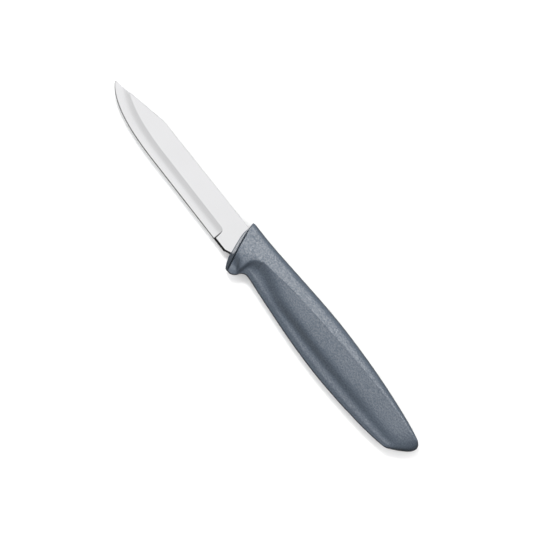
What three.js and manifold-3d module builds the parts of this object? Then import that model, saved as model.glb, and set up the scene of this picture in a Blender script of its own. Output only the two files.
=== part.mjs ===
// A vegetable knife: a ground stainless blade whose tang is held in a handle moulded over it.
// Millimetres. The knife lies on its side, +X towards the butt, +Y towards the spine, +Z up.
// While it is made, x = 0 and y = 0 are at the tip and z = 0 is the blade's middle plane.
import * as THREE from "three";
import { mergeVertices } from "three/addons/utils/BufferGeometryUtils.js";
import Module from "manifold-3d";

// Blade outline
const bladeReach = 75; // tip to the handle's front corner, along the spine
const bladeThickness = 1.2;
const bladeDepth = 12.97; // straight spine down to the cutting edge at the heel
const spineRise = 5.15; // tip up to the straight spine
const clipLength = 23.4; // tip to the start of the straight spine
const tipHeight = 0.4; // blunt end of the tip
const edgeCurve = 30; // tip to the end of the cutting edge's curve
const edgeFall = 0.42; // how far the straight part of the edge drops towards the heel
const rootClear = 1; // end of the blade's flat sides to the handle's front corner
const heelBack = 0.8; // handle's front corner to the heel's rear corner
const choilAngle = 25; // degrees that the heel's rear edge rises at

// Grind of the blade
const grindWidth = 5.08; // cutting edge up to the grind line, on the straight part
const grindLag = 1.8; // how far the grind line's curve lies behind the edge's
const heelLength = 5.1; // stop of the grind to the handle's front corner
const stopRadius = 1.5; // corner of the stop
const sharpWidth = 0.3; // sharpened band at the very edge
const landThickness = 0.3; // blade's thickness at the top of the sharpened band
const edgeThickness = 0.04; // blade's thickness at the edge

// Tang
const shoulderBack = 6; // handle's front corner to the shoulder of the tang
const tangLength = 62; // handle's front corner to the end of the tang
const tangTop = 3.1; // upper edge of the tang, above the tip
const tangDepth = 8;
const tangCorner = 2; // corner radius at the tang's end
const tangHole = 5; // hole diameter
const tangHoleInset = 9; // end of the tang to the last hole's centre
const tangHoleSpacing = 26;
const mouldGap = 0.3; // between the tang and the plastic round it

// Handle outline, with heights and depths taken from the tip
const handleLength = 105; // front corner to the end of the butt
const spineFront = 7.92; // height of the spine at the front corner
const spineSwell = 9.67; // height of the spine at its highest
const spineSwellAt = 52; // front corner to that place
const guardTip = 11.45; // depth of the guard
const guardBack = 8; // front corner to the guard's lowest point
const fingerDepth = 6.8; // depth of the belly in the finger hollow
const fingerBack = 14.8; // front corner to the finger hollow's middle
const bellySwell = 9.86; // depth of the belly at its lowest
const bellySwellAt = 58; // front corner to that place
const frontBulge = 2.7; // how far the front's middle stands before the line from its corner to the guard
const buttHeight = 2.4; // height of the butt's end
const buttRise = 2.75; // butt's end up to the start of its round at the spine
const buttRound = 2.4; // length of that round
const buttFall = 9.1; // butt's end down to the start of its round at the belly
const buttSlant = 9.5; // length that the slanted butt takes at the belly

// Crease between the upper facet and the side
const creaseFront = 13; // front corner of the spine down to the crease
const creaseBack = 5.5; // front corner back to the crease's start
const creaseFinger = 1.7; // height of the crease over the finger hollow
const creaseTop = 5.85; // height of the crease at its highest
const creaseTopBack = 35; // end of the butt to that place
const creaseEnd = 0.5; // spine to crease where the butt's round starts

// Handle section
const shoulderFront = 2.9; // half thickness where the upper facet starts at the spine, at the front
const shoulderMiddle = 4.71;
const shoulderButt = 5;
const shoulderFrontRun = 23; // length at the front in which it reaches its middle value
const shoulderButtRun = 42; // length at the back in which it leaves it
const ledgeFront = 4.6; // half thickness on the ledge between the belly and the cove, at the front
const ledgeMiddle = 3.95;
const ledgeButt = 3.9;
const ledgeFrontRun = 50; // length at the front in which it reaches its middle value
const ledgeButtRun = 40; // length at the back in which it leaves it
const facetTilt = 19; // degrees that the upper facet leans by
const facetReach = 7; // spine to the place where a wide facet starts to level out
const facetEase = 2; // shortest length in which it levels out
const shoulderRadiusFront = 1.45; // round between the spine and the upper facet, at the front
const shoulderRadiusFull = 2.1;
const shoulderRadiusRun = 45; // length at the front in which that round grows
const shoulderShare = 0.8; // most of a narrow facet that the round may take, as a share
const bellyRadius = 0.5; // round of the belly
const bellyDrop = 0.45; // how far the ledge sinks towards the belly
const bellyReach = 2.2; // belly to the place where the ledge starts to sink
const coveAtFront = 0.74; // steepest place of the cove, as a share of the way from belly to crease
const coveAtMiddle = 0.41;
const coveAtButt = 0.29;
const coveSwingStart = 12; // front corner to the place where the cove starts to swing down
const coveSwingLength = 20; // length in which it swings down
const coveButtRun = 70; // length at the back in which it nears the belly again
const coveBelow = 0.6; // softness of the cove's lower half
const coveAbove = 0.85; // softness of the cove's upper half
const coveSpread = 0.6; // share by which the cove is softer at the front
const coveNarrowStart = 20; // front corner to the place where that share starts to fade
const coveNarrowLength = 30; // length in which it fades
const buttDrop = 0.2; // share of its thickness that the handle loses before the butt
const buttDropRun = 6; // length in which it loses that
const buttSlope = 0.45; // share that it loses on the butt itself
const buttFullness = 5; // how squarely the butt ends, from 2 for an ellipse

// Fineness of the surfaces
const edgeSteps = 30;
const arcSteps = 8;
const grindSteps = 6;
const handleSteps = 42;
const handleCrowding = 1.4; // above 1, the handle's stations lie closer together at the guard
const roundSteps = 5;
const facetSteps = 4;
const coveSteps = 13;
const bellySteps = 3;
const capSteps = 5;
const overcut = 2; // how far a cutter stands clear of what it cuts

const steel = new THREE.MeshStandardMaterial({ color: 0xe4e4e6, roughness: 0.25, metalness: 1 });
const plastic = new THREE.MeshStandardMaterial({ color: 0x848b93, roughness: 0.5, metalness: 0 });

const wasm = await Module();
wasm.setup();

const mix = THREE.MathUtils.lerp;
const radians = THREE.MathUtils.degToRad;
const smooth = THREE.MathUtils.smoothstep;
const point = (x, y) => new THREE.Vector2(x, y);
const rounded = (share) => Math.sqrt(1 - (1 - Math.min(share, 1)) ** 2);

// Points between two places, each as a share of the way along x and along y.
function between(from, to, shares) {
  return shares.map(([a, b]) => point(mix(from.x, to.x, a), mix(from.y, to.y, b)));
}

// Closed surface through rings of points, each ring with the same number of them.
// Points that coincide are joined, so a ring that shrinks to a line or a point closes the end.
function skin(rings) {
  const around = rings[0].length;
  const corners = [];
  for (let i = 0; i + 1 < rings.length; i++) {
    for (let j = 0; j < around; j++) {
      const a = i * around + j;
      const b = i * around + ((j + 1) % around);
      corners.push(a, b, b + around, a, b + around, a + around);
    }
  }
  const loose = new THREE.BufferGeometry().setFromPoints(rings.flat());
  loose.setIndex(corners);
  const joined = mergeVertices(loose);
  const index = Array.from(joined.index.array);
  const kept = [];
  for (let i = 0; i < index.length; i += 3) {
    const face = index.slice(i, i + 3);
    if (new Set(face).size === 3) kept.push(...face);
  }
  joined.setIndex(kept);
  return joined;
}

function solid(geometry) {
  const bare = geometry.clone();
  bare.deleteAttribute("normal");
  bare.deleteAttribute("uv");
  const joined = mergeVertices(bare);
  const vertProperties = new Float32Array(joined.attributes.position.array);
  const triVerts = new Uint32Array(joined.index.array);
  return new wasm.Manifold(new wasm.Mesh({ numProp: 3, vertProperties, triVerts }));
}

function meshOf(body, name, material) {
  const { vertProperties, triVerts } = body.getMesh();
  const geometry = new THREE.BufferGeometry();
  geometry.setAttribute("position", new THREE.BufferAttribute(vertProperties, 3));
  geometry.setIndex(new THREE.BufferAttribute(triVerts, 1));
  geometry.computeVertexNormals();
  const mesh = new THREE.Mesh(geometry, material);
  mesh.name = name;
  return mesh;
}

// Cutting edge: a curve from the tip, then a straight run to the stop of the grind.
const heelLevel = spineRise - bladeDepth;
const tip = point(0, 0);
const curveEnd = point(edgeCurve, heelLevel + edgeFall);
const grindStop = bladeReach - heelLength;
const root = bladeReach - rootClear;
const [bend, turn] = between(tip, curveEnd, [[0.209, 0.846], [0.69, 0.975]]);
const curvedEdge = new THREE.CubicBezierCurve(tip, bend, turn, curveEnd).getPoints(edgeSteps);
const cuttingEdge = [...curvedEdge, point(grindStop, heelLevel)];

function edgeLevel(x) {
  const next = cuttingEdge.findIndex((p) => p.x >= x);
  if (next <= 0) return next === 0 ? tip.y : heelLevel;
  const a = cuttingEdge[next - 1];
  const b = cuttingEdge[next];
  return mix(a.y, b.y, (x - a.x) / (b.x - a.x));
}

// Outline of the blade in front of the handle.
function exposedShape() {
  const shape = new THREE.Shape();
  shape.moveTo(tip.x, tip.y + tipHeight);
  cuttingEdge.forEach((p) => shape.lineTo(p.x, p.y));
  shape.lineTo(root, heelLevel);
  shape.lineTo(root, spineRise);
  shape.lineTo(clipLength, spineRise);
  return shape;
}

// Outline of the blade's root and tang, with the holes. It is grown for the pocket in the handle.
function tangShape(grow) {
  const high = tangTop + grow;
  const low = tangTop - tangDepth - grow;
  const end = bladeReach + tangLength + grow;
  const corner = tangCorner + grow;
  const shoulder = bladeReach + shoulderBack + grow;
  const choil = radians(choilAngle);
  const heelRear = bladeReach + heelBack + grow / Math.sin(choil);
  const choilTop = heelRear + (low - heelLevel) / Math.tan(choil);
  const shape = new THREE.Shape();
  shape.moveTo(root, heelLevel);
  shape.lineTo(heelRear, heelLevel);
  shape.lineTo(choilTop, low);
  shape.lineTo(end - corner, low);
  shape.absarc(end - corner, low + corner, corner, -Math.PI / 2, 0, false);
  shape.absarc(end - corner, high - corner, corner, 0, Math.PI / 2, false);
  shape.lineTo(shoulder, high);
  shape.lineTo(shoulder, spineRise + grow);
  shape.lineTo(root, spineRise + grow);
  const lastHole = bladeReach + tangLength - tangHoleInset;
  for (const x of [lastHole, lastHole - tangHoleSpacing]) {
    const hole = new THREE.Path();
    hole.absarc(x, tangTop - tangDepth / 2, tangHole / 2 - grow, 0, 2 * Math.PI, true);
    shape.holes.push(hole);
  }
  return shape;
}

function sheet(shape, depth) {
  const options = { depth, bevelEnabled: false, curveSegments: arcSteps };
  const geometry = new THREE.ExtrudeGeometry(shape, options);
  return solid(geometry.translate(0, 0, -depth / 2));
}

// Half thickness of the ground blade at a height above the edge: the sharpened band, then the hollow.
function groundHalf(height, width) {
  const land = landThickness / 2;
  if (height <= sharpWidth) return mix(edgeThickness / 2, land, Math.max(height, 0) / sharpWidth);
  const share = (height - sharpWidth) / (width - sharpWidth);
  return mix(land, bladeThickness / 2, share ** 2);
}

// What the grinding wheel takes off one side. Its stop has a round corner in plan.
function grindCutter(side) {
  const clear = bladeThickness / 2 + overcut;
  const arcStart = grindStop - stopRadius;
  const stations = [-overcut, ...curvedEdge.map((p) => p.x)];
  for (let i = 0; i <= roundSteps; i++) {
    stations.push(arcStart + stopRadius * Math.sin(((i / roundSteps) * Math.PI) / 2));
  }
  const rings = stations.map((x) => {
    const low = edgeLevel(x);
    const past = Math.max(x - arcStart, 0);
    const cornerCut = stopRadius - Math.sqrt(Math.max(stopRadius ** 2 - past ** 2, 0));
    const width = grindWidth + edgeLevel(x - grindLag) - low;
    const top = width + (past > 0 ? -cornerCut : sharpWidth);
    const heights = [-overcut, 0, sharpWidth];
    for (let i = 1; i <= grindSteps; i++) heights.push(mix(sharpWidth, top, i / grindSteps));
    const ring = heights.map((h) => new THREE.Vector3(x, low + h, side * groundHalf(h, width)));
    ring.push(new THREE.Vector3(x, low + top, side * clear));
    ring.push(new THREE.Vector3(x, low - overcut, side * clear));
    return side > 0 ? ring : ring.reverse();
  });
  const shut = (ring) => {
    const middle = ring.reduce((sum, p) => sum.add(p), new THREE.Vector3());
    middle.divideScalar(ring.length);
    return ring.map(() => middle.clone());
  };
  return solid(skin([shut(rings[0]), ...rings, shut(rings.at(-1))]));
}

// Rails that the handle's skin follows, in the plane of the blade.
const front = bladeReach;
const butt = bladeReach + handleLength;
const frontCorner = point(front, spineFront);
const spineTop = point(front + spineSwellAt, spineSwell);
const spineEnd = point(butt - buttRound, buttHeight + buttRise);
const spineRail = new THREE.SplineCurve([
  ...between(frontCorner, spineTop, [[0, 0], [0.17, 0], [0.48, 0.45], [1, 1]]),
  ...between(spineTop, spineEnd, [[0.3, 0.1], [0.57, 0.314], [0.85, 0.679], [1, 1]]),
]);

const guardLow = point(front + guardBack, -guardTip);
const fingerTop = point(front + fingerBack, -fingerDepth);
const bellyLow = point(front + bellySwellAt, -bellySwell);
const bellyEnd = point(butt - buttSlant, buttHeight - buttFall);
const bellyRail = new THREE.SplineCurve([
  ...between(guardLow, fingerTop, [[0, 0], [0.2, 0.043], [0.41, 0.31], [0.525, 0.68], [0.7, 0.914]]),
  ...between(fingerTop, bellyLow, [[0, 0], [0.19, 0.277], [0.56, 0.735], [0.79, 0.93], [1, 1]]),
  ...between(bellyLow, bellyEnd, [[0.587, 0.31], [0.853, 0.69], [1, 1]]),
]);

const creaseStart = point(front + creaseBack, spineFront - creaseFront);
const creaseOverFinger = point(front + fingerBack, creaseFinger);
const creaseHigh = point(butt - creaseTopBack, creaseTop);
const creaseStop = point(spineEnd.x - creaseEnd, spineEnd.y - creaseEnd);
const creaseRail = new THREE.SplineCurve([
  ...between(creaseStart, creaseOverFinger, [[0, 0], [0.183, 0.056], [0.398, 0.277], [0.527, 0.543]]),
  ...between(creaseStart, creaseOverFinger, [[0.677, 0.779], [0.839, 0.912], [1, 1]]),
  ...between(creaseOverFinger, creaseHigh, [[0.286, 0.468], [0.643, 0.79], [1, 1]]),
  ...between(creaseHigh, creaseStop, [[0.594, 0.074], [1, 1]]),
]);

// Middle of the front face: it stands before the straight line from the front corner to the guard.
const frontLine = guardLow.clone().sub(frontCorner);
const forward = point(frontLine.y, -frontLine.x).normalize();
const upperBulges = [[0, 0], [0.13, 0.42], [0.22, 0.67], [0.31, 0.84], [0.5, 0.94]];
const lowerBulges = [[0.7, 0.93], [0.8, 0.845], [0.91, 0.615], [0.97, 0.38], [1, 0]];
const frontRail = new THREE.SplineCurve(
  [...upperBulges, ...lowerBulges].map(([along, out]) => {
    const onLine = frontCorner.clone().addScaledVector(frontLine, along);
    return onLine.addScaledVector(forward, out * frontBulge);
  }),
);

const buttEnd = point(butt, buttHeight);
const buttRail = new THREE.SplineCurve([
  ...between(spineEnd, buttEnd, [[0, 0], [0.4, 0.18], [0.75, 0.42], [1, 1]]),
  ...between(buttEnd, bellyEnd, [[0.09, 0.264], [0.395, 0.593], [0.685, 0.846], [0.81, 0.94], [1, 1]]),
]);

// Shares that fade from 1 at the front, or at the butt, to 0 at the end of a run.
const fromFront = (u, run) => Math.max(0, 1 - (u * handleLength) / run) ** 2;
const fromButt = (u, run) => Math.max(0, 1 - ((1 - u) * handleLength) / run) ** 2;

// Share of the cove's rise at a distance from the belly. It is steepest at one place and softer above it.
function climb(distance, fall, u) {
  const along = u * handleLength;
  const swung = smooth(along, coveSwingStart, coveSwingStart + coveSwingLength);
  const atEnd = (coveAtButt - coveAtMiddle) * fromButt(u, coveButtRun);
  const steepest = fall * (mix(coveAtFront, coveAtMiddle, swung) + atEnd);
  const narrowed = smooth(along, coveNarrowStart, coveNarrowStart + coveNarrowLength);
  const spread = 1 + coveSpread * (1 - narrowed);
  const below = coveBelow * spread;
  const above = coveAbove * spread;
  const foot = below * Math.tanh(steepest / below / 2);
  const head = above * Math.tanh((fall - steepest) / above / 2);
  const soft = distance < steepest ? below : above;
  return (foot + soft * Math.tanh((distance - steepest) / soft / 2)) / (foot + head);
}

// Half section from the spine, over the crease and the cove, to the belly.
// Each point also has its share of the way from the spine to the belly.
function halfSection(u) {
  const s = spineRail.getPointAt(u);
  const c = creaseRail.getPointAt(u);
  const b = bellyRail.getPointAt(u);
  const shoulder =
    shoulderMiddle +
    (shoulderFront - shoulderMiddle) * fromFront(u, shoulderFrontRun) +
    (shoulderButt - shoulderMiddle) * fromButt(u, shoulderButtRun);
  const ledge =
    ledgeMiddle +
    (ledgeFront - ledgeMiddle) * fromFront(u, ledgeFrontRun) +
    (ledgeButt - ledgeMiddle) * fromButt(u, ledgeButtRun);
  const facet = s.distanceTo(c);
  const fall = b.distanceTo(c);
  const lean = (d) => d - Math.max(0, d - facetReach) ** 2 / (2 * Math.max(facet - facetReach, facetEase));
  const tilt = Math.tan(radians(facetTilt));
  const crease = shoulder + tilt * lean(facet);
  const shoulderRadius = mix(shoulderRadiusFull, shoulderRadiusFront, fromFront(u, shoulderRadiusRun));
  const shoulderRound = Math.min(shoulderRadius, shoulderShare * facet);
  const kept = 1 - buttDrop * fromButt(u, buttDropRun);
  const points = [];
  const addUpper = (d) => {
    const z = shoulder * rounded(d / shoulderRound) + tilt * lean(d);
    points.push({ xy: s.clone().lerp(c, d / facet), z: kept * z, share: d / (facet + fall) });
  };
  const addLower = (d) => {
    const sunk = ledge - bellyDrop * (1 - smooth(d, 0, bellyReach));
    const z = sunk * rounded(d / bellyRadius) + (crease - ledge) * climb(d, fall, u);
    points.push({ xy: b.clone().lerp(c, d / fall), z: kept * z, share: 1 - d / (facet + fall) });
  };
  const roundStep = (share) => 1 - Math.cos((share * Math.PI) / 2);
  for (let i = 0; i <= roundSteps; i++) addUpper(shoulderRound * roundStep(i / roundSteps));
  for (let i = 1; i <= facetSteps; i++) addUpper(mix(shoulderRound, facet, i / facetSteps));
  for (let i = coveSteps - 1; i > 0; i--) addLower(mix(bellyRadius, fall, i / coveSteps));
  for (let i = bellySteps; i >= 0; i--) addLower(bellyRadius * roundStep(i / bellySteps));
  return points;
}

// Ring round the handle. At an end it narrows and closes in on the end's rail in the middle plane.
function ringAt(u, width = 1, rail = null, reach = 0) {
  const half = halfSection(u);
  const place = (p, side) => {
    const xy = rail ? p.xy.clone().lerp(rail.getPointAt(p.share), reach) : p.xy;
    return new THREE.Vector3(xy.x, xy.y, side * width * p.z);
  };
  const upperSide = half.map((p) => place(p, 1));
  const underSide = half.map((p) => place(p, -1)).slice(1, -1);
  return [...upperSide, ...underSide.reverse()];
}

// Rings from the front face, along the handle, to the end of the butt.
function handleBody() {
  const rings = [];
  for (let i = 0; i < capSteps; i++) {
    const width = i / capSteps;
    rings.push(ringAt(0, width, frontRail, 1 - width ** 2));
  }
  for (let i = 0; i <= handleSteps; i++) rings.push(ringAt((i / handleSteps) ** handleCrowding));
  for (let i = 1; i <= capSteps; i++) {
    const way = 1 - (1 - i / capSteps) ** 2;
    const width = (1 - buttSlope * way) * Math.sqrt(1 - way ** buttFullness);
    rings.push(ringAt(1, width, buttRail, way));
  }
  return solid(skin(rings));
}

const blank = sheet(exposedShape(), bladeThickness).add(sheet(tangShape(0), bladeThickness));
const bladeBody = blank.subtract(grindCutter(1)).subtract(grindCutter(-1));
const pocket = sheet(tangShape(mouldGap), bladeThickness + 2 * mouldGap);
const handleHollowed = handleBody().subtract(pocket);

const knife = new THREE.Group();
knife.name = "vegetable_knife";
knife.add(meshOf(bladeBody, "blade", steel));
knife.add(meshOf(handleHollowed, "handle", plastic));

// The part's origin is the bottom centre of its box.
const box = new THREE.Box3().setFromObject(knife);
const centre = box.getCenter(new THREE.Vector3());
knife.children.forEach((mesh) => mesh.geometry.translate(-centre.x, -centre.y, -box.min.z));

export default knife;
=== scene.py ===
"""Looks of the vegetable knife: its fine surfaces, materials, floor, light and camera."""
import math

import bmesh
import bpy
import numpy as np
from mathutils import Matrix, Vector
from mathutils.geometry import tessellate_polygon


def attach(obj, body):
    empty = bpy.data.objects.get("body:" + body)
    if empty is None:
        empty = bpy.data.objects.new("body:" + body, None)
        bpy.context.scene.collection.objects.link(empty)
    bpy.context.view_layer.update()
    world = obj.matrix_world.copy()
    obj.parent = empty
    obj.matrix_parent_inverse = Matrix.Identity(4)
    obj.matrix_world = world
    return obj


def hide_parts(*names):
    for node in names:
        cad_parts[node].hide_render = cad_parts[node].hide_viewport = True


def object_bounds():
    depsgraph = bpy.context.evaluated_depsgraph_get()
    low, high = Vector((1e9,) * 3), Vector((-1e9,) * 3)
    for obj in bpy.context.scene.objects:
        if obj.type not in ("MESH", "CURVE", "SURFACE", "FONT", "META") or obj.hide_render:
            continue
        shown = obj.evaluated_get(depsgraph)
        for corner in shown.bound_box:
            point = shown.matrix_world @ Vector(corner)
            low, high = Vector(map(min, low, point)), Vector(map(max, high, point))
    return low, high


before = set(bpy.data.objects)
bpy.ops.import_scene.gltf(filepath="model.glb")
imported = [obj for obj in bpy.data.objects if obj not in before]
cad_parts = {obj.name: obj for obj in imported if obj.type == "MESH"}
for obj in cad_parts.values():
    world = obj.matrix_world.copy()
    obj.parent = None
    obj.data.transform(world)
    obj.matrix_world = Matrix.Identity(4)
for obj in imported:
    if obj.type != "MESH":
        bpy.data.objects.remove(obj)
cad_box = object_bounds()

MM = 0.001

# Sizes in millimetres: from the tip along the knife, up towards the spine, out from the middle.
# A value called SHARE is a part of a length, and a RUN is the length over which a change dies out.

# Blade: outline
BLADE_REACH = 75.0
BLADE_THICKNESS = 1.2
BLADE_DEPTH = 12.97
SPINE_RISE = 5.15
CLIP_LENGTH = 23.4
TIP_HEIGHT = 0.4
EDGE_CURVE = 30.0
EDGE_FALL = 0.42
EDGE_BENDS = [(0.209, 0.846), (0.69, 0.975)]
HEEL_BACK = 0.8
CHOIL_ANGLE = 25.0

# Blade: hollow grind and its stop, honed edge, bevel under the heel, broken corner of the spine
GRIND_WIDTH = 5.08
GRIND_LAG = 1.8
HEEL_LENGTH = 5.1
STOP_RADIUS = 1.5
STOP_BEND_FROM = 60.0
STOP_SLOPE = 43.0
STOP_EASE = 0.18
SHARP_WIDTH = 0.3
LAND = 0.3
EDGE = 0.04
HEEL_BREAK = 0.88
HEEL_TILT = 31.0
SPINE_BREAK = 0.05
SPINE_LEAST = 0.02

# Tang with its holes, and the pocket round it
SHOULDER_BACK = 6.0
TANG_LENGTH = 62.0
TANG_LAP = 0.5
TANG_TOP = 3.1
TANG_DEPTH = 8.0
TANG_CORNER = 2.0
TANG_HOLE = 5.0
TANG_HOLE_INSET = 9.0
TANG_HOLE_SPACING = 26.0
SLOT_GAP = 0.08
POCKET_LEAD = 3.0

# Handle: outline and crease
HANDLE_LENGTH = 105.0
SPINE_FRONT = 7.92
SPINE_SWELL = 9.67
SPINE_SWELL_AT = 52.0
GUARD_TIP = 11.45
GUARD_BACK = 8.0
FINGER_DEPTH = 6.8
FINGER_BACK = 14.8
BELLY_SWELL = 9.8
BELLY_SWELL_AT = 60.5
BUTT_HEIGHT = 2.4
BUTT_RISE = 2.75
BUTT_ROUND = 2.4
BUTT_FALL = 9.1
BUTT_SLANT = 9.5
CREASE_FRONT = 13.0
CREASE_BACK = 5.5
CREASE_FINGER = 1.7
CREASE_TOP = 5.72
CREASE_TOP_BACK = 35.0
CREASE_END = 0.5

# Handle: spine, shoulder and facet; three values stand for the front, the middle and the butt
SHOULDER = (2.9, 4.71, 5.0)
SHOULDER_RUNS = (23.0, 42.0)
SHOULDER_RADIUS = (2.0, 2.5, 2.3)
SHOULDER_RADIUS_RUNS = (45.0, 45.0)
SHOULDER_SHARE = 0.8
SPINE_WALL = 0.6
SPINE_WALL_ROUND = 0.7
SPINE_WALL_SHARE = 0.3
FACET_TILT = 19.0
FACET_REACH = 7.0
FACET_EASE = 2.0

# Handle: ledge and belly, below the cove
LEDGE = (4.6, 3.95, 4.2)
LEDGE_RUNS = (50.0, 45.0)
BELLY_RADIUS = 0.5
BELLY_DROP = (0.2, 0.45, 0.3)
BELLY_DROP_RUNS = (18.0, 30.0)
BELLY_REACH = 2.3

# Handle: cove, with its middle as a share of the way from belly to crease at front, middle and butt
COVE_AT = (0.74, 0.39, 0.335)
COVE_FALLS = (9.5, 29.5)
COVE_END_RUN = 100.0
COVE_LIFT = 0.15
COVE_LIFT_RUN = 4.0
COVE_DIP = 0.43
COVE_DIP_AT = 4.4
COVE_DIP_RUN = 1.9
COVE_SOFT = (0.6, 0.9)
COVE_SPREAD = (0.6, 1.6)
COVE_WIDENS = (0.0, 9.0)
COVE_NARROWS = (14.0, 40.0)
COVE_REAR = 0.3
COVE_REAR_STRETCH = (50.0, 90.0)

# Handle: fine step below the crease, and how softly the crease is drawn
CREASE_STEP = 0.08
CREASE_STEP_STRETCH = (16.0, 98.0)
CREASE_STEP_EASE = 12.0
CREASE_STEP_FADE = 3.0
CREASE_SOFT = 0.16
CREASE_BLEND = 2.0
GUARD_SOFT = 1.05
GUARD_RUN = 16.0
BELLY_KEEP = 1.5
BELLY_KEEP_EASE = 2.0

# Handle: front face with its corner at the spine, its groove and its foot at the blade
FRONT_BULGE = 2.7
FRONT_BULGES = [(0.13, 0.25), (0.22, 0.5), (0.31, 0.68), (0.5, 0.77), (0.7, 0.8)]
FRONT_BULGES += [(0.8, 0.735), (0.91, 0.535), (0.97, 0.34), (1, 0)]
FRONT_BOW = 0.5
FRONT_BOW_RUN = 6.0
CORNER_DROP = 0.4
CORNER_RUN = 1.0
CORNER_PUSH = 0.4
CORNER_RIM_SHARE = 0.25
CORNER_FACE_SHARE = 0.35
GROOVE_WIDTH = 0.66
GROOVE_DEPTH = 1.6
GROOVE_SHARE = 0.6
GROOVE_PROFILE = ((0.86, 0.4), (0.7, 0.8), (0.55, 1), (0.4, 0.95), (0.22, 0.6), (0.08, 0.15))
FOOT_REACH = 0.3
FOOT_HEIGHT = 0.25
FOOT_SHARE = 0.32

# Handle: butt
BUTT_DROP = 0.45
BUTT_DROP_RUN = 5.5
BUTT_FALLS = (0.36, 0.24)
BUTT_FLOOR = 3.0
BUTT_SINK = 2.4
BUTT_FULLNESS = 7.0

# Rows, rings, columns and steps of the surfaces, and how strongly they gather at fine places
ROUND_ROWS, FACET_ROWS, COVE_ROWS = 16, 24, 70
FACET_GATHER, COVE_GATHER, TIP_GATHER = 1.5, 1.3, 1.3
FOOT_RINGS, DOME_RINGS, FRONT_RINGS, SIDE_RINGS, BUTT_RINGS = 41, 22, 90, 140, 33
FRONT_STRETCH = 12.0
SHARP_ROWS, HOLLOW_ROWS, FLAT_ROWS = 6, 26, 4
GROUND_COLUMNS, HEEL_COLUMNS, ROOT_COLUMNS = 140, 14, 16
RAIL_STEPS, EDGE_STEPS, CORNER_STEPS, HOLE_SIDES = 3000, 400, 12, 32
SHARP_ANGLE = 38.0
MERGE_DISTANCE = 2e-7
TINY = 1e-6

# The part's origin is the bottom centre of its box.
MIDDLE = cad_box[1][2] / 2 / MM
SHIFT = np.array([-(BLADE_REACH + HANDLE_LENGTH) / 2, (GUARD_TIP - SPINE_SWELL) / 2, MIDDLE])


def to_metres(points):
    return (np.asarray(points, float) + SHIFT) * MM


def between(start, end, shares):
    start, end = np.array(start, float), np.array(end, float)
    return [start + (end - start) * np.array(s) for s in shares]


class Rail:
    """A smooth curve through points, read by its share of the length."""

    def __init__(self, points):
        p = np.array(points, float)
        t = np.linspace(0, len(p) - 1, RAIL_STEPS)
        i = np.minimum(t.astype(int), len(p) - 2)
        w = (t - i)[:, None]
        a, b = p[np.maximum(i - 1, 0)], p[i]
        c, d = p[i + 1], p[np.minimum(i + 2, len(p) - 1)]
        v0, v1 = (c - a) / 2, (d - b) / 2
        cubic, square = 2 * b - 2 * c + v0 + v1, 3 * c - 3 * b - 2 * v0 - v1
        self.xy = cubic * w**3 + square * w**2 + v0 * w + b
        run = np.r_[0, np.cumsum(np.linalg.norm(np.diff(self.xy, axis=0), axis=1))]
        self.share = run / run[-1]

    def at(self, u):
        return np.stack([np.interp(u, self.share, self.xy[:, k]) for k in (0, 1)], -1)


# Handle: the lines that carry its surface
front, butt = BLADE_REACH, BLADE_REACH + HANDLE_LENGTH
front_corner = np.array([front, SPINE_FRONT])
spine_top = (front + SPINE_SWELL_AT, SPINE_SWELL)
spine_end = np.array([butt - BUTT_ROUND, BUTT_HEIGHT + BUTT_RISE])
guard_low = np.array([front + GUARD_BACK, -GUARD_TIP])
finger_top = (front + FINGER_BACK, -FINGER_DEPTH)
belly_low = (front + BELLY_SWELL_AT, -BELLY_SWELL)
belly_end = (butt - BUTT_SLANT, BUTT_HEIGHT - BUTT_FALL)
crease_start = (front + CREASE_BACK, SPINE_FRONT - CREASE_FRONT)
crease_finger = (front + FINGER_BACK, CREASE_FINGER)
crease_high = (butt - CREASE_TOP_BACK, CREASE_TOP)
crease_stop = spine_end - CREASE_END
butt_end = (butt, BUTT_HEIGHT)
front_line = guard_low - front_corner
forward = np.array([front_line[1], -front_line[0]]) / np.linalg.norm(front_line)


def front_point(share, bulge):
    push = CORNER_PUSH * max(0, 1 - share / CORNER_FACE_SHARE)
    return front_corner + front_line * share + forward * (FRONT_BULGE * bulge) - (push, 0)


spine_rail = Rail(
    between(front_corner, spine_top, [(0, 0), (0.2, 0), (0.48, 0.415), (0.75, 0.83), (1, 1)])
    + between(spine_top, spine_end, [(0.3, 0.1), (0.57, 0.314), (0.85, 0.679), (1, 1)])
)
belly_rail = Rail(
    between(guard_low, finger_top, [(0, 0), (0.2, 0.043), (0.41, 0.31), (0.525, 0.68)])
    + between(guard_low, finger_top, [(0.7, 0.914)])
    + between(finger_top, belly_low, [(0, 0), (0.18, 0.277), (0.53, 0.735), (0.747, 0.925), (1, 1)])
    + between(belly_low, belly_end, [(0.357, 0.154), (0.529, 0.308), (0.7, 0.48), (0.871, 0.737)])
    + between(belly_low, belly_end, [(1, 1)])
)
crease_rail = Rail(
    between(crease_start, crease_finger, [(0, 0), (0.183, 0.056), (0.398, 0.277), (0.527, 0.543)])
    + between(crease_start, crease_finger, [(0.677, 0.779), (0.839, 0.912), (1, 1)])
    + between(crease_finger, crease_high, [(0.286, 0.468), (0.643, 0.79), (1, 1)])
    + between(crease_high, crease_stop, [(0.594, 0.074), (1, 1)])
)
front_rail = Rail(
    [front_corner - (CORNER_PUSH, CORNER_DROP)] + [front_point(*place) for place in FRONT_BULGES]
)
butt_rail = Rail(
    between(spine_end, butt_end, [(0, 0), (0.4, 0.18), (0.75, 0.42), (1, 1)])
    + between(butt_end, belly_end, [(0.09, 0.264), (0.395, 0.593), (0.685, 0.846), (0.81, 0.94)])
    + between(butt_end, belly_end, [(1, 1)])
)


def fade(distance, run):
    return max(0.0, 1 - distance / run)


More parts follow.
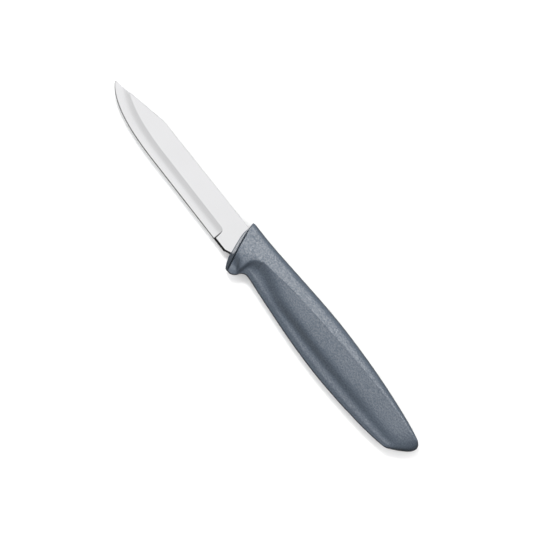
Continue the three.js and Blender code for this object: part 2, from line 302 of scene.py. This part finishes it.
def ease(values, runs, u):
    """Full along the middle of the handle, easing over a run to its own value at each end."""
    towards_front = fade(u * HANDLE_LENGTH, runs[0]) ** 2
    towards_butt = fade((1 - u) * HANDLE_LENGTH, runs[1]) ** 2
    at_front, middle, at_butt = values
    return middle + (at_front - middle) * towards_front + (at_butt - middle) * towards_butt


def rounded(share):
    return np.sqrt(1 - (1 - np.minimum(share, 1)) ** 2)


def ramped(x):
    x = np.clip(x, 0, 1)
    return x * x * (3 - 2 * x)


def passed(stretch, along):
    return ramped((along - stretch[0]) / (stretch[1] - stretch[0]))


quarter = 1 - np.cos(np.linspace(0, math.pi / 2, ROUND_ROWS + 1))
facet_rows = 1 - (1 - np.linspace(0, 1, FACET_ROWS + 1)) ** FACET_GATHER
cove_rows = np.linspace(0, 1, COVE_ROWS + 1) ** COVE_GATHER


def climb(e, fall, u):
    """Share of the cove's rise at a distance from the belly: steep at its middle, soft above."""
    along = u * HANDLE_LENGTH
    at = COVE_AT[0] + (COVE_AT[1] - COVE_AT[0]) * passed(COVE_FALLS, along)
    at += COVE_LIFT * fade(along, COVE_LIFT_RUN)
    at -= COVE_DIP * math.exp(-(((along - COVE_DIP_AT) / COVE_DIP_RUN) ** 2))
    at += (COVE_AT[2] - COVE_AT[1]) * fade(HANDLE_LENGTH - along, COVE_END_RUN) ** 2
    spread = COVE_SPREAD[0] + (COVE_SPREAD[1] - COVE_SPREAD[0]) * passed(COVE_WIDENS, along)
    spread += (1 - COVE_SPREAD[1]) * passed(COVE_NARROWS, along)
    middle, below, above = fall * at, COVE_SOFT[0] * spread, COVE_SOFT[1] * spread
    above *= 1 + COVE_REAR * passed(COVE_REAR_STRETCH, along)
    soft = np.where(e < middle, below, above)
    low = below * math.tanh(middle / below / 2)
    high = above * math.tanh((fall - middle) / above / 2)
    return (low + soft * np.tanh((e - middle) / soft / 2)) / (low + high)


def half_section(u):
    """Points from the spine over crease and cove to the belly, and each one's share of the way."""
    s, c, b = spine_rail.at(u), crease_rail.at(u), belly_rail.at(u)
    along = u * HANDLE_LENGTH
    s = s - (0, CORNER_DROP * fade(along, CORNER_RUN) ** 2)
    shoulder, ledge = ease(SHOULDER, SHOULDER_RUNS, u), ease(LEDGE, LEDGE_RUNS, u)
    facet, fall = np.linalg.norm(c - s), np.linalg.norm(c - b)

    # From the spine over its steep wall and the shoulder's round to the facet and the crease
    turn = min(ease(SHOULDER_RADIUS, SHOULDER_RADIUS_RUNS, u), SHOULDER_SHARE * facet)
    wall = min(SPINE_WALL_ROUND, SPINE_WALL_SHARE * turn)
    roll = wall + (turn - wall) * quarter[1:]
    d = np.r_[wall * quarter, roll, turn + (facet - turn) * facet_rows[1:]]
    past = np.maximum(0, d - FACET_REACH)
    lean = d - past**2 / (2 * max(facet - FACET_REACH, FACET_EASE))
    side = SPINE_WALL * rounded(d / wall) + (1 - SPINE_WALL) * rounded(d / turn)
    z_up = shoulder * side + lean * math.tan(math.radians(FACET_TILT))
    crease = z_up[-1]

    # From the crease down the cove to the ledge and the belly's round
    e = np.r_[fall + (BELLY_RADIUS - fall) * cove_rows[1:], (BELLY_RADIUS * quarter)[::-1][1:]]
    ledge_out = ledge - ease(BELLY_DROP, BELLY_DROP_RUNS, u) * (1 - ramped(e / BELLY_REACH))
    z_low = ledge_out * rounded(e / BELLY_RADIUS) + (crease - ledge) * climb(e, fall, u)
    step = CREASE_STEP * ramped((along - CREASE_STEP_STRETCH[0]) / CREASE_STEP_EASE)
    step *= ramped((CREASE_STEP_STRETCH[1] - along) / CREASE_STEP_EASE)
    z_low = z_low - step * np.exp((e - fall) / CREASE_STEP_FADE)
    way = np.r_[d, facet + fall - e]
    xy = np.r_[s + (c - s) * (d / facet)[:, None], b + (c - b) * (e / fall)[:, None]]
    z = np.r_[z_up, z_low]

    # The crease drawn softer towards the guard, the rim's bow, the corner's push, the butt's drop
    soft = CREASE_SOFT + GUARD_SOFT * fade(along, GUARD_RUN) ** 2
    pull = np.exp(-(((way[:, None] - way) / soft) ** 2) / 2) * np.gradient(way)
    near = ramped(CREASE_BLEND - np.abs(way - facet) / (CREASE_BLEND * soft))
    near *= ramped((facet + fall - way - BELLY_KEEP) / BELLY_KEEP_EASE)
    z = z + near * (pull @ z / pull.sum(1) - z)
    bow = FRONT_BOW * fade(along, FRONT_BOW_RUN) ** 2
    xy = xy + forward * (bow * np.sin(math.pi * way / way[-1]))[:, None]
    push = CORNER_PUSH * fade(along, FRONT_BOW_RUN) ** 2
    xy[:, 0] -= push * np.maximum(0, 1 - way / way[-1] / CORNER_RIM_SHARE)
    drop = fade(HANDLE_LENGTH - along, BUTT_DROP_RUN) ** 2
    z = z - np.maximum(0, z - ledge) * BUTT_DROP * drop
    return np.c_[xy, z], way / (facet + fall)


def full_ring(points):
    under = points[1:-1][::-1] * (1, 1, -1)
    return np.r_[points, under]


def front_rings():
    """The domed front face from the middle plane out, then the fine groove along its rim."""
    points, share = half_section(0)
    bulge = front_rail.at(share) - points[:, :2]
    size = np.maximum(np.linalg.norm(bulge, axis=1), TINY)
    lip = np.minimum(GROOVE_WIDTH, GROOVE_SHARE * size)
    depth = GROOVE_DEPTH * lip / GROOVE_WIDTH * np.minimum(1, points[:, 2])
    foot_part = np.linspace(0, FOOT_SHARE, FOOT_RINGS)
    dome = np.r_[foot_part, np.linspace(FOOT_SHARE, 1, DOME_RINGS)[1:]]
    profile = [(1, s, 0.0) for s in dome] + [(a, 1, k) for a, k in GROOVE_PROFILE]
    rings = []
    for a, s, k in profile:
        w = s * np.sqrt(1 - a * lip / size)
        ring = points * np.c_[np.ones((len(w), 2)), w]
        ring[:, :2] += bulge * (1 - w**2)[:, None]
        foot = np.clip(1 - (ring[:, 2] - BLADE_THICKNESS / 2) / FOOT_HEIGHT, 0, 1)
        ring[:, :2] += bulge * (FOOT_REACH * foot / np.maximum(size, 1))[:, None]
        ring[:, 2] -= k * depth
        rings.append(full_ring(ring))
    return rings


def butt_ring(way):
    """The butt's dome at a share of the way to its end: a slope that rolls over into the end."""
    points, share = half_section(1)
    gap = butt_rail.at(share) - points[:, :2]
    sunk = (BUTT_FALLS[0] * way + BUTT_FALLS[1] * way**2) * np.linalg.norm(gap, axis=1)
    level = points[:, 2] - sunk * np.clip((points[:, 2] - BUTT_FLOOR) / BUTT_SINK, 0, 1)
    return full_ring(np.c_[points[:, :2] + gap * way, level * math.sqrt(1 - way**BUTT_FULLNESS)])


def ring_mesh(name, rings):
    around = rings.shape[1]
    rows = np.arange(len(rings) - 1)[:, None] * around
    j = np.arange(around)
    k = (j + 1) % around
    corners = [rows + j, rows + k, rows + around + k, rows + around + j]
    quads = np.stack(corners, -1).reshape(-1, 4)
    mesh = bpy.data.meshes.new(name)
    mesh.from_pydata(to_metres(rings.reshape(-1, 3)).tolist(), [], quads.tolist())
    return mesh


def cleaned(mesh):
    bm = bmesh.new()
    bm.from_mesh(mesh)
    bmesh.ops.remove_doubles(bm, verts=bm.verts, dist=MERGE_DISTANCE)
    bmesh.ops.dissolve_degenerate(bm, edges=bm.edges, dist=MERGE_DISTANCE)
    bmesh.ops.recalc_face_normals(bm, faces=bm.faces)
    bm.to_mesh(mesh)
    bm.free()
    return mesh


def put(name, mesh):
    obj = bpy.data.objects.new(name, mesh)
    bpy.context.scene.collection.objects.link(obj)
    return obj


def prism(name, outline, holes, low, high):
    """A plate with holes between two heights."""
    loops = [outline] + holes
    flat = [p for loop in loops for p in loop]
    faces = tessellate_polygon([[Vector((x, y, 0)) for x, y in loop] for loop in loops])
    n = len(flat)
    polys = [list(f) for f in faces] + [[i + n for i in f[::-1]] for f in faces]
    start = 0
    for loop in loops:
        m = len(loop)
        for i in range(m):
            a, b = start + i, start + (i + 1) % m
            polys.append([a, b, b + n, a + n])
        start += m
    verts = [(x, y, low) for x, y in flat] + [(x, y, high) for x, y in flat]
    mesh = bpy.data.meshes.new(name)
    mesh.from_pydata(to_metres(verts).tolist(), [], polys)
    return cleaned(mesh)


def arc(cx, cy, r, start, end, steps):
    angles = np.radians(np.linspace(start, end, steps + 1))
    return [(cx + r * math.cos(a), cy + r * math.sin(a)) for a in angles]


def combine(obj, other, operation):
    """Joins one closed body to another or cuts it by the other, which is used up."""
    change = obj.modifiers.new("combine", "BOOLEAN")
    change.operation = operation
    change.solver = "EXACT"
    change.object = other
    view = bpy.context.evaluated_depsgraph_get()
    mesh = bpy.data.meshes.new_from_object(obj.evaluated_get(view))
    obj.modifiers.clear()
    obj.data = mesh
    bpy.data.objects.remove(other)


heel_level = SPINE_RISE - BLADE_DEPTH
choil = math.radians(CHOIL_ANGLE)


def tang_outline(grow, x_front):
    """The tang's outline and holes, grown by a gap, with the blade's root if it starts there."""
    high, low = TANG_TOP + grow, TANG_TOP - TANG_DEPTH - grow
    end, corner = BLADE_REACH + TANG_LENGTH + grow, TANG_CORNER + grow
    shoulder = BLADE_REACH + SHOULDER_BACK + grow
    outline = arc(end - corner, low + corner, corner, -90, 0, CORNER_STEPS)
    outline += arc(end - corner, high - corner, corner, 0, 90, CORNER_STEPS)
    if x_front < BLADE_REACH:
        rear = BLADE_REACH + HEEL_BACK + grow / math.sin(choil)
        top = rear + (low - heel_level) / math.tan(choil)
        outline = [(x_front, heel_level), (rear, heel_level), (top, low)] + outline
        outline += [(shoulder, high), (shoulder, SPINE_RISE + grow), (x_front, SPINE_RISE + grow)]
    else:
        outline = [(x_front, low)] + outline + [(x_front, high)]
    last = BLADE_REACH + TANG_LENGTH - TANG_HOLE_INSET
    middle = TANG_TOP - TANG_DEPTH / 2
    holes = [
        arc(x, middle, TANG_HOLE / 2 - grow, 360, 360 / (HOLE_SIDES + 1), HOLE_SIDES - 1)
        for x in (last, last - TANG_HOLE_SPACING)
    ]
    return outline, holes


def make_handle():
    """The moulding: domed front face, sides and domed butt, with the pocket for the tang."""
    near_front = np.linspace(0, FRONT_STRETCH, FRONT_RINGS)[:-1]
    along = np.r_[near_front, np.linspace(FRONT_STRETCH, HANDLE_LENGTH, SIDE_RINGS)] / HANDLE_LENGTH
    rings = front_rings() + [full_ring(half_section(u)[0]) for u in along]
    rings += [butt_ring(w) for w in 1 - (1 - np.linspace(0, 1, BUTT_RINGS)[1:]) ** 2]
    skin = put("handle", cleaned(ring_mesh("handle", np.array(rings))))
    depth = BLADE_THICKNESS / 2 + SLOT_GAP
    pocket = prism("pocket", *tang_outline(SLOT_GAP, BLADE_REACH - POCKET_LEAD), -depth, depth)
    combine(skin, put("pocket", pocket), "DIFFERENCE")
    skin.data.shade_smooth()
    skin.data.set_sharp_from_angle(angle=math.radians(SHARP_ANGLE))
    return skin


# Blade: the cutting edge's curve, and the heights that bound the blade at a distance from the tip
curve_end = np.array([EDGE_CURVE, heel_level + EDGE_FALL])
leaves, arrives = between((0, 0), curve_end, EDGE_BENDS)
t = np.linspace(0, 1, EDGE_STEPS)[:, None]
curve = 3 * (1 - t) ** 2 * t * leaves + 3 * (1 - t) * t**2 * arrives + t**3 * curve_end
grind_stop = BLADE_REACH - HEEL_LENGTH
edge_x = np.r_[curve[:, 0], grind_stop]
edge_y = np.r_[curve[:, 1], heel_level]


def low_side(x):
    """Cutting edge, heel and the choil that rises into the handle."""
    rise = np.maximum(0, x - BLADE_REACH - HEEL_BACK) * math.tan(choil)
    return np.where(x <= grind_stop, np.interp(x, edge_x, edge_y), heel_level + rise)


def high_side(x):
    return np.minimum(SPINE_RISE, TIP_HEIGHT + (SPINE_RISE - TIP_HEIGHT) * x / CLIP_LENGTH)


def ground_half(d, width):
    share = np.maximum(0, d - SHARP_WIDTH) / (width - SHARP_WIDTH)
    hollow = LAND / 2 + (BLADE_THICKNESS - LAND) / 2 * share**2
    sharp = EDGE / 2 + (LAND - EDGE) / 2 * d / SHARP_WIDTH
    return np.where(d < SHARP_WIDTH, sharp, hollow)


def heel_half(d):
    bevel = np.maximum(0, HEEL_BREAK - d) * math.tan(math.radians(HEEL_TILT))
    return BLADE_THICKNESS / 2 - bevel


def stop_back(y):
    """How far the grind's stop lies before its foot at a height: its upper corner is round."""
    over = np.clip(y - (heel_level + GRIND_WIDTH - STOP_RADIUS), 0, STOP_RADIUS)
    return STOP_RADIUS - np.sqrt(STOP_RADIUS**2 - over**2)


def blade_column(kind, h):
    """Points of one column up the blade's upper side, from the edge to the spine."""
    stop = grind_stop - STOP_EASE
    heel_rear = BLADE_REACH + HEEL_BACK
    if kind == "ground":
        x0 = h * stop
    elif kind == "heel":
        x0 = stop + h * (heel_rear - stop)
    else:
        x0 = heel_rear + h * (BLADE_REACH + SHOULDER_BACK - heel_rear)
    low, high = float(low_side(x0)), float(high_side(x0))
    first, width = HEEL_BREAK, GRIND_WIDTH
    if kind == "ground":
        first = SHARP_WIDTH
        width = GRIND_WIDTH + float(low_side(max(0.0, x0 - GRIND_LAG))) - low
    d = np.r_[np.linspace(0, first, SHARP_ROWS + 1), np.linspace(first, width, HOLLOW_ROWS + 1)[1:]]
    top = high - low - SPINE_BREAK
    d = np.minimum(d, top)
    d = np.r_[d, np.linspace(d[-1], top, FLAT_ROWS + 1)[1:]]
    if kind == "ground":
        z = ground_half(np.minimum(d, d[-1 - FLAT_ROWS]), width)
        bent = passed((STOP_BEND_FROM, stop), x0)
    else:
        z = heel_half(d)
        bent = 1 - h if kind == "heel" else 0.0
    y = low + np.r_[d, high - low]
    x = x0 - bent * stop_back(y)
    if kind == "heel":
        lift = np.maximum(0, z - ground_half(np.minimum(d, width), width))
        wall = lift / math.tan(math.radians(STOP_SLOPE))
        x[:-1] += (1 - h) * wall
    return np.c_[x, y, np.r_[z, max(z[-1] - SPINE_BREAK, SPINE_LEAST)]]


# The last finish is a darkened steel: painted shade for the dark lines at the grind's stop and
# under the heel.
POLISHED, GROUND, HONED_WITH_SHADE, PAINTED_SHADE = range(4)


def make_blade(finishes_and_shade):
    """The blade, a grid of columns along it and rows up it on both sides, with the tang behind."""
    columns = [("ground", h) for h in np.linspace(0, 1, GROUND_COLUMNS) ** TIP_GATHER]
    columns += [("heel", h) for h in np.linspace(0, 1, HEEL_COLUMNS)]
    columns += [("root", h) for h in np.linspace(0, 1, ROOT_COLUMNS)[1:]]
    last = GROUND_COLUMNS - 1
    grind_row = SHARP_ROWS + HOLLOW_ROWS
    verts = []
    for kind, h in columns:
        column = blade_column(kind, h)
        verts.append(np.r_[column, (column * (1, 1, -1))[::-1]])
    verts = np.array(verts)
    n, m = verts.shape[:2]
    half = m // 2

    # Faces, with the finish of each. The darkest steel, on the grind's stop wall and on the heel's
    # bevel, is painted shade for the dark lines there.
    faces, mats = [], []
    for i in range(n - 1):
        for j in range(m):
            k = (j + 1) % m
            faces.append([i * m + j, (i + 1) * m + j, (i + 1) * m + k, i * m + k])
            row = min(j, m - 2 - j) if j < m - 1 else -1
            if i < last:
                # The honed rows along the edge take the darker steel, partly painted shade for the
                # edge's dark line.
                mats.append(HONED_WITH_SHADE if row < SHARP_ROWS else GROUND if row < grind_row else POLISHED)
            else:
                painted_shade_rows = grind_row if i == last else SHARP_ROWS
                mats.append(PAINTED_SHADE if row < painted_shade_rows else POLISHED)
    faces.append(list(range(m))[::-1])
    mats.append(GROUND)
    faces.append([(n - 1) * m + j for j in range(m)])
    mats.append(POLISHED)
    mesh = bpy.data.meshes.new("blade")
    mesh.from_pydata(to_metres(verts.reshape(-1, 3)).tolist(), [], faces)
    mesh.polygons.foreach_set("material_index", mats)

    # Sharp edges along the rows and columns where the surface breaks
    breaks = [SHARP_ROWS, m - 1 - SHARP_ROWS, grind_row, m - 1 - grind_row]
    breaks += [half - 2, half - 1, half, half + 1, 0, m - 1]
    creases = set()
    for j in breaks:
        creases |= {(i * m + j, (i + 1) * m + j) for i in range(n - 1)}
    for i in (0, last, last + 1, n - 1):
        creases |= {(i * m + j, i * m + (j + 1) % m) for j in range(m)}
    creases = {tuple(sorted(c)) for c in creases}
    marks = [tuple(sorted(e.vertices)) in creases for e in mesh.edges]
    sharp_edges = mesh.attributes.new("sharp_edge", "BOOLEAN", "EDGE")
    sharp_edges.data.foreach_set("value", marks)
    mesh.shade_smooth()
    cleaned(mesh)
    for finish in finishes_and_shade:
        mesh.materials.append(finish)
    blade = put("blade", mesh)
    full = BLADE_THICKNESS / 2
    tang_front = BLADE_REACH + SHOULDER_BACK - TANG_LAP
    tang = prism("tang", *tang_outline(0, tang_front), -full, full)
    combine(blade, put("tang", tang), "UNION")
    return blade


# Materials: noise scales are per metre, bump depths in metres
PLASTIC_TONES = ((0.096, 0.118, 0.148), (0.102, 0.125, 0.157))
PLASTIC_ROUGHNESS = (0.35, 0.45)
PLASTIC_SHINE = (0.12, 0.88)
PLASTIC_IOR = 1.53
PLASTIC_CLOUD, PLASTIC_GRAIN, PLASTIC_PITS, PLASTIC_SPECKS = 90, 1400, 3600, 1800
SPECK_SPAN = (0.35, 0.65)
GRAIN_STRENGTH, GRAIN_DEPTH = 0.8, 0.00013
PIT_STRENGTH, PIT_DEPTH = 0.25, 0.00002
STEEL_CLOUD, STEEL_DIM = 60, 0.975
STEEL_SMOOTHER, STEEL_ROUGHER = 0.9, 1.1
LINE_DEPTH = 0.000004
FLOOR_TONES = ((0.895, 0.895, 0.895), (0.905, 0.905, 0.905))
FLOOR_CLOUD, FLOOR_ROUGHNESS, FLOOR_SHINE = 3, 0.9, 0.0
# The backdrop glows in these tones: painted light, lighter low down and darker high up.
BACKDROP_TONES = ((0.9, 0.9, 0.9), (0.7, 0.7, 0.71))
BACKDROP_SPAN = (0.5, 0.9)

# Name, colour, roughness, the wheel's lines per metre along x, y and z, and their strength
STEELS = (
    ("polished_steel", (0.86, 0.86, 0.87), 0.15, (90, 5200, 5200), 0.25),
    ("ground_steel", (0.86, 0.86, 0.87), 0.16, (5200, 90, 90), 0.3),
    # The honed edge: its finer lines and roughness are real, its darker colour is painted shade for
    # the dark line along the edge.
    ("honed_steel_with_shade", (0.62, 0.62, 0.64), 0.2, (9000, 200, 200), 0.4),
    # Painted shade: a far darker steel for the dark lines at the grind's stop wall and the heel's
    # bevel.
    ("steel_painted_shade", (0.3, 0.3, 0.31), 0.17, (5200, 90, 90), 0.3),
)


class Nodes:
    """Short forms for building a material's nodes."""

    def __init__(self, name):
        self.material = bpy.data.materials.new(name)
        self.material.use_nodes = True
        self.tree = self.material.node_tree
        self.shader = self.tree.nodes["Principled BSDF"]
        self.place = self.add("ShaderNodeTexCoord").outputs["Object"]

    def add(self, kind, **values):
        node = self.tree.nodes.new(kind)
        for key, value in values.items():
            node.inputs[key].default_value = value
        return node

    def link(self, source, target):
        self.tree.links.new(source, target)

    def noise(self, scale, stretch=(1, 1, 1), detail=2.0, rough=0.5):
        spread = self.add("ShaderNodeMapping", Scale=stretch)
        self.link(self.place, spread.inputs["Vector"])
        node = self.add("ShaderNodeTexNoise", Scale=scale, Detail=detail, Roughness=rough)
        self.link(spread.outputs["Vector"], node.inputs["Vector"])
        return node.outputs["Fac"]

    def ramp(self, source, tones, span=(0.3, 0.7)):
        """From one tone to the other, colours or greys, while the source crosses a span."""
        node = self.add("ShaderNodeValToRGB")
        for element, at, tone in zip(node.color_ramp.elements, span, tones):
            element.position = at
            element.color = (*tone, 1) if isinstance(tone, tuple) else (tone, tone, tone, 1)
        self.link(source, node.inputs["Fac"])
        return node.outputs["Color"]

    def bump(self, height, strength, distance, normal=None):
        node = self.add("ShaderNodeBump", Strength=strength, Distance=distance)
        self.link(height, node.inputs["Height"])
        if normal:
            self.link(normal, node.inputs["Normal"])
        return node.outputs["Normal"]


def plastic():
    """Spark-eroded grey moulding: a faint cloud of colour, grain and pits, and specks of shine."""
    n = Nodes("grey_plastic")
    cloud = n.noise(PLASTIC_CLOUD, detail=3)
    n.link(n.ramp(cloud, PLASTIC_TONES), n.shader.inputs["Base Color"])
    grain = n.noise(PLASTIC_GRAIN, detail=2, rough=0.6)
    pits = n.noise(PLASTIC_PITS, detail=1)
    n.link(n.ramp(grain, PLASTIC_ROUGHNESS), n.shader.inputs["Roughness"])
    first = n.bump(grain, GRAIN_STRENGTH, GRAIN_DEPTH)
    n.link(n.bump(pits, PIT_STRENGTH, PIT_DEPTH, first), n.shader.inputs["Normal"])
    speck = n.noise(PLASTIC_SPECKS, detail=2, rough=0.6)
    n.link(n.ramp(speck, PLASTIC_SHINE, SPECK_SPAN), n.shader.inputs["Specular IOR Level"])
    n.shader.inputs["IOR"].default_value = PLASTIC_IOR
    return n.material


def steel(name, colour, rough, lines, strength):
    """Sheet steel: fine lines from the wheel, faint clouding and a trace of bump in the lines."""
    n = Nodes(name)
    cloud = n.noise(STEEL_CLOUD, detail=3)
    tones = (tuple(c * STEEL_DIM for c in colour), colour)
    n.link(n.ramp(cloud, tones), n.shader.inputs["Base Color"])
    streak = n.noise(1.0, lines, detail=3, rough=0.6)
    spread = (rough * STEEL_SMOOTHER, rough * STEEL_ROUGHER)
    n.link(n.ramp(streak, spread), n.shader.inputs["Roughness"])
    n.link(n.bump(streak, strength, LINE_DEPTH), n.shader.inputs["Normal"])
    n.shader.inputs["Metallic"].default_value = 1.0
    return n.material


handle = make_handle()
handle.data.materials.clear()
handle.data.materials.append(plastic())
blade = make_blade([steel(*values) for values in STEELS])

for piece, node, finish in ((handle, "handle", "plastic"), (blade, "blade", "steel")):
    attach(piece, "root")
    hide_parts(node)

# Floor, in metres
FLOOR_SIZE = 6.0
bpy.ops.mesh.primitive_plane_add(size=FLOOR_SIZE, location=(0, 0, 0))
floor = bpy.context.object
floor.name = "floor"
n = Nodes("pale_floor")
n.link(n.ramp(n.noise(FLOOR_CLOUD, detail=2), FLOOR_TONES), n.shader.inputs["Base Color"])
n.shader.inputs["Roughness"].default_value = FLOOR_ROUGHNESS
n.shader.inputs["Specular IOR Level"].default_value = FLOOR_SHINE
floor.data.materials.append(n.material)
floor.visible_diffuse = False
floor.visible_glossy = False

# Backdrop: a pale dome far behind the floor, for the eye alone. It glows with painted light,
# lighter low down and darker towards its top.
BACKDROP_RADIUS = 12.0
BACKDROP_SEGMENTS, BACKDROP_RINGS = 64, 32
bpy.ops.mesh.primitive_uv_sphere_add(
    segments=BACKDROP_SEGMENTS, ring_count=BACKDROP_RINGS, radius=BACKDROP_RADIUS
)
backdrop = bpy.context.object
backdrop.name = "backdrop"
n = Nodes("pale_backdrop")
glow = n.add("ShaderNodeEmission")
split = n.add("ShaderNodeSeparateXYZ")
n.link(n.add("ShaderNodeTexCoord").outputs["Generated"], split.inputs["Vector"])
n.link(n.ramp(split.outputs["Z"], BACKDROP_TONES, BACKDROP_SPAN), glow.inputs["Color"])
n.link(glow.outputs["Emission"], n.tree.nodes["Material Output"].inputs["Surface"])
backdrop.data.materials.append(n.material)
for rays in ("diffuse", "glossy", "transmission", "volume_scatter", "shadow"):
    setattr(backdrop, "visible_" + rays, False)


# Light: soft panels, each for one receiver. The handle has a soft box on the spine's side and
# weaker fills, the blade has cards that it mirrors, overhead and low on all sides, and the floor
# has a small key for the shadow and a wide fill.
def receivers(name, obj):
    group = bpy.data.collections.new(name)
    group.objects.link(obj)
    return group


handle_only = receivers("handle_only", handle)
blade_only = receivers("blade_only", blade)
floor_only = receivers("floor_only", floor)

PANEL_DISTANCE = 1.0


def panel(name, tilt, turn, size, radiance, group):
    """A panel facing the knife: degrees off the vertical, turned from spine side towards tip."""
    data = bpy.data.lights.new(name, "AREA")
    data.shape = "RECTANGLE"
    data.size, data.size_y = size
    data.energy = radiance * math.pi * size[0] * size[1]
    a, b = math.radians(tilt), math.radians(turn)
    towards = Vector((-math.sin(a) * math.sin(b), math.sin(a) * math.cos(b), math.cos(a)))
    obj = bpy.data.objects.new(name, data)
    obj.location = towards * PANEL_DISTANCE
    obj.rotation_euler = (math.radians(-tilt), 0, math.radians(turn))
    obj.visible_camera = False
    bpy.context.scene.collection.objects.link(obj)
    obj.light_linking.receiver_collection = group


# Name, tilt, turn, width and height in metres, radiance, receiver
panel("soft_box", 39, 18, (1.1, 0.62), 5.85, handle_only)
panel("top_fill", 4, 0, (1.0, 0.5), 2.35, handle_only)
panel("tip_fill", 48, 90, (0.8, 0.7), 1.1, handle_only)
panel("blade_card", 2, 0, (2.4, 1.5), 0.685, blade_only)
panel("blade_card_bright", 15, 0, (2.4, 1.0), 0.25, blade_only)
panel("tip_card", 39.5, 90, (1.2, 0.58), 3.2, blade_only)
panel("floor_key", 19, 57, (0.13, 0.13), 76.0, floor_only)
panel("floor_fill", 0, 0, (2.0, 2.0), 2.35, floor_only)
panel("belly_fill", 82, 180, (1.2, 0.5), 0.6, handle_only)

# Tilt, size and turns of the low cards round the blade
LOW_CARDS = ((66, (0.85, 0.43), (0, 48, 96, 264, 312)), (75.7, (0.7, 0.25), (140, 180, 220)))
LOW_CARD_RADIANCE = 0.45
for tilt, size, turns in LOW_CARDS:
    for turn in turns:
        panel(f"low_card_{turn}", tilt, turn, size, LOW_CARD_RADIANCE, blade_only)

# World: dark above and to the sides, grey from below
UNDER_STARTS, UNDER_FULL = -0.15, -0.6
SKY_TONE, UNDER_TONE = (0.02, 0.02, 0.021, 1), (0.22, 0.22, 0.22, 1)
world = bpy.data.worlds.new("studio")
bpy.context.scene.world = world
world.use_nodes = True
sky = world.node_tree
direction = sky.nodes.new("ShaderNodeTexCoord").outputs["Generated"]
height = sky.nodes.new("ShaderNodeSeparateXYZ")
below = sky.nodes.new("ShaderNodeMapRange")
below.inputs["From Min"].default_value = UNDER_STARTS
below.inputs["From Max"].default_value = UNDER_FULL
shade = sky.nodes.new("ShaderNodeValToRGB")
shade.color_ramp.elements[0].color = SKY_TONE
shade.color_ramp.elements[1].color = UNDER_TONE
sky.links.new(direction, height.inputs["Vector"])
sky.links.new(height.outputs["Z"], below.inputs["Value"])
sky.links.new(below.outputs["Result"], shade.inputs["Fac"])
sky.links.new(shade.outputs["Color"], sky.nodes["Background"].inputs["Color"])

# Camera: straight down on the knife's side, turned so that the knife lies across the picture.
# Its turn is in degrees, its view's width and its height in metres, its aim in millimetres.
CAMERA_TURN = 51.5
CAMERA_VIEW = 0.20164
CAMERA_HEIGHT = 2.0
CAMERA_AIM = (90.6, 1.285)
CAMERA_SENSOR = 36.0
camera_data = bpy.data.cameras.new("camera")
camera_data.sensor_width = CAMERA_SENSOR
camera_data.lens = CAMERA_SENSOR * CAMERA_HEIGHT / CAMERA_VIEW
camera = bpy.data.objects.new("camera", camera_data)
camera.location = (*to_metres((*CAMERA_AIM, 0))[:2], MIDDLE * MM + CAMERA_HEIGHT)
camera.rotation_euler = (0, 0, math.radians(CAMERA_TURN))
bpy.context.scene.collection.objects.link(camera)
bpy.context.scene.camera = camera
bpy.context.scene.view_settings.view_transform = "Standard"
